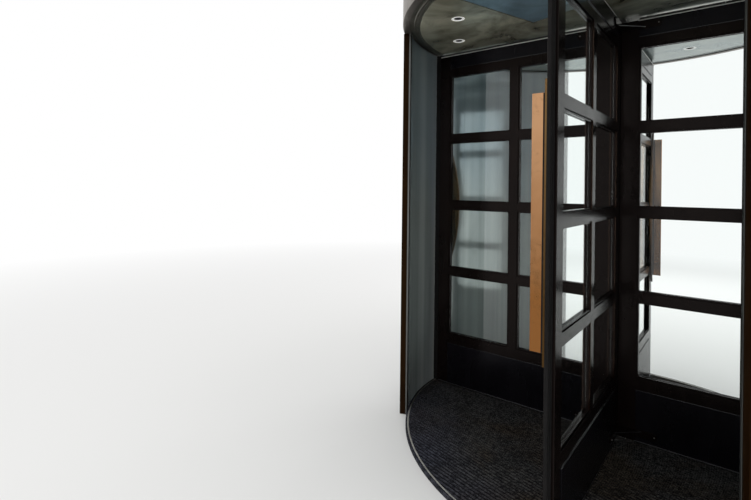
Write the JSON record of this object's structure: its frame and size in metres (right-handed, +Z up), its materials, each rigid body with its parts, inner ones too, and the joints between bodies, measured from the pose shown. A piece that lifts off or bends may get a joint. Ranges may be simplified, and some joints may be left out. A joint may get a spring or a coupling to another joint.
{
  "type": "revolving door",
  "caption": "Manual revolving door with curved metal drum walls, a closed canopy and glazed bronze wings that turn together and carry crescent pull handles",
  "frame": {"origin": "On the rotor's vertical axis at ground level, under the middle of the drum", "axes": "+Z up; -Y is the lobby side and +Y the street side; the curved walls stand across +X and -X"},
  "size_m": [2.312, 2.312, 2.5],
  "materials": {
    "dark_bronze": "dark oxidised bronze with a satin lacquer",
    "post_bronze": "dark brown oxidised bronze",
    "wall_metal": "satin metal sheet with soft reflections",
    "satin_trim": "satin",
    "ribbed_mat": "ribbed dark entrance matting",
    "bearing_steel": "dull",
    "soffit_metal": "patinated grey bronze sheet",
    "white_trim": "white ring with a dark well",
    "canopy_metal": "satin grey bronze",
    "black_pile": "dense black pile",
    "grey_bristle": "grey bristle",
    "clear_glass": "clear, polished",
    "copper_polish": "polished copper alloy, browned at the crescents"
  },
  "bodies": {
    "drum": {"floor_ring": "satin_trim", "entrance_mat": "ribbed_mat", "floor_pivot": "bearing_steel", "left_lobby_panel": "wall_metal", "left_street_panel": "wall_metal", "right_lobby_panel": "wall_metal", "right_street_panel": "wall_metal", "left_lobby_post": "post_bronze", "left_street_post": "post_bronze", "right_lobby_post": "post_bronze", "right_street_post": "post_bronze", "jamb_trims": "satin_trim", "soffit_pan": "soffit_metal", "soffit_rim": "soffit_metal", "soffit_hatch": "soffit_metal", "downlights": "white_trim", "head_bearing": "bearing_steel", "lobby_fascia": "canopy_metal", "street_fascia": "canopy_metal", "canopy_top": "canopy_metal"},
    "rotor": {"centre_shaft": "dark_bronze", "top_brackets": "dark_bronze", "bottom_brackets": "dark_bronze", "edge_wipers": "black_pile", "brush_sweeps": "grey_bristle", "wing_1_frame": "dark_bronze", "wing_1_glass": "clear_glass", "wing_1_plates": "dark_bronze", "wing_1_handle": "copper_polish", "wing_2_frame": "dark_bronze", "wing_2_glass": "clear_glass", "wing_2_plates": "dark_bronze", "wing_2_handle": "copper_polish", "wing_3_frame": "dark_bronze", "wing_3_glass": "clear_glass", "wing_3_plates": "dark_bronze", "wing_3_handle": "copper_polish", "wing_4_frame": "dark_bronze", "wing_4_glass": "clear_glass", "wing_4_plates": "dark_bronze", "wing_4_handle": "copper_polish"}
  },
  "joints": [
    {"name": "rotor_turn", "type": "hinge", "parent": "drum", "child": "rotor", "pos_m": [0, 0, 0], "axis": [0, 0, 1], "continuous": true}
  ]
}
